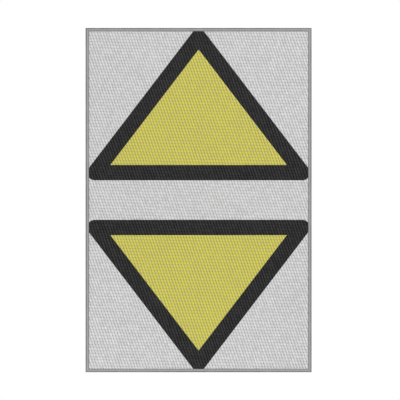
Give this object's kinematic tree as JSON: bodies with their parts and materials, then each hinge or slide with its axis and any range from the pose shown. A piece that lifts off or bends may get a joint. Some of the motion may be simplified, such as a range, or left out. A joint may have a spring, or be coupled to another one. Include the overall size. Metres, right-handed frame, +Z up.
{
  "type": "road sign panel with post clamps",
  "caption": "Upright road sign panel with black-edged yellow triangles pointing up and down on white, grey edge profile, rear mounting rails and sliding clamps for a round post.",
  "frame": {"origin": "on the post's axis, half way up the panel", "axes": "+X to the right as the sign is read, +Z up along the post, the face looks along -Y"},
  "size_m": [0.6, 0.0958, 0.914],
  "materials": {
    "plate_back": "grey coil-coated sheet, satin",
    "edge_grey": "grey powder coat, satin",
    "white_sheeting": "white sealed-cell retroreflective sheeting",
    "black_film": "black film over the cells",
    "yellow_film": "transparent yellow film over the cells",
    "key_aluminium": "die cast, as cast",
    "rivet_aluminium": "blind rivet, bright",
    "rail_aluminium": "mill-finish extrusion",
    "foam_tape": "acrylic foam bonding tape",
    "cast_aluminium": "sand cast, blasted",
    "galvanised_steel": "hot-dip galvanised",
    "stainless_steel": "stainless, plain"
  },
  "bodies": {
    "upper_clamp": {"upper_saddle": "cast_aluminium", "upper_t_bolts": "stainless_steel"},
    "panel": {"sign_plate": "plate_back", "white_sheeting": "white_sheeting", "upper_triangle_border": "black_film", "upper_triangle_fill": "yellow_film", "lower_triangle_border": "black_film", "lower_triangle_fill": "yellow_film", "top_edge_rail": "edge_grey", "bottom_edge_rail": "edge_grey", "left_edge_rail": "edge_grey", "right_edge_rail": "edge_grey", "top_left_corner_key": "key_aluminium", "top_right_corner_key": "key_aluminium", "bottom_left_corner_key": "key_aluminium", "bottom_right_corner_key": "key_aluminium", "corner_key_rivets": "rivet_aluminium", "rail_end_rivets": "rivet_aluminium", "upper_mounting_rail": "rail_aluminium", "upper_rail_tape": "foam_tape", "lower_mounting_rail": "rail_aluminium", "lower_rail_tape": "foam_tape"},
    "lower_clamp": {"lower_saddle": "cast_aluminium", "lower_t_bolts": "stainless_steel"},
    "upper_band": {"upper_strap": "galvanised_steel", "upper_washers": "stainless_steel"},
    "upper_left_nut": {"upper_left_nut": "stainless_steel"},
    "upper_right_nut": {"upper_right_nut": "stainless_steel"},
    "lower_band": {"lower_strap": "galvanised_steel", "lower_washers": "stainless_steel"},
    "lower_left_nut": {"lower_left_nut": "stainless_steel"},
    "lower_right_nut": {"lower_right_nut": "stainless_steel"}
  },
  "joints": [
    {"name": "panel_shift", "type": "slide", "parent": "upper_clamp", "child": "panel", "axis": [1, 0, 0], "range_m": [-0.22, 0.22]},
    {"name": "lower_clamp_shift", "type": "slide", "parent": "panel", "child": "lower_clamp", "axis": [1, 0, 0], "range_m": [-0.22, 0.22]},
    {"name": "upper_strap_release", "type": "slide", "parent": "upper_clamp", "child": "upper_band", "axis": [0, 1, 0], "range_m": [0, 0.008]},
    {"name": "upper_left_nut_turn", "type": "hinge", "parent": "upper_band", "child": "upper_left_nut", "pos_m": [-0.047, 0, 0.25], "axis": [0, 1, 0], "range_deg": [0, 2304.1]},
    {"name": "upper_right_nut_turn", "type": "hinge", "parent": "upper_band", "child": "upper_right_nut", "pos_m": [0.047, 0, 0.25], "axis": [0, 1, 0], "range_deg": [0, 2304.1]},
    {"name": "lower_strap_release", "type": "slide", "parent": "lower_clamp", "child": "lower_band", "axis": [0, 1, 0], "range_m": [0, 0.008]},
    {"name": "lower_left_nut_turn", "type": "hinge", "parent": "lower_band", "child": "lower_left_nut", "pos_m": [-0.047, 0, -0.25], "axis": [0, 1, 0], "range_deg": [0, 2304.1]},
    {"name": "lower_right_nut_turn", "type": "hinge", "parent": "lower_band", "child": "lower_right_nut", "pos_m": [0.047, 0, -0.25], "axis": [0, 1, 0], "range_deg": [0, 2304.1]}
  ],
  "couplings": [
    {"joint": "lower_clamp_shift", "follows": "panel_shift", "ratio": -1},
    {"joint": "upper_left_nut_turn", "follows": "upper_strap_release", "rad_per_m": 5026.5},
    {"joint": "upper_right_nut_turn", "follows": "upper_strap_release", "rad_per_m": 5026.5},
    {"joint": "lower_left_nut_turn", "follows": "lower_strap_release", "rad_per_m": 5026.5},
    {"joint": "lower_right_nut_turn", "follows": "lower_strap_release", "rad_per_m": 5026.5}
  ]
}
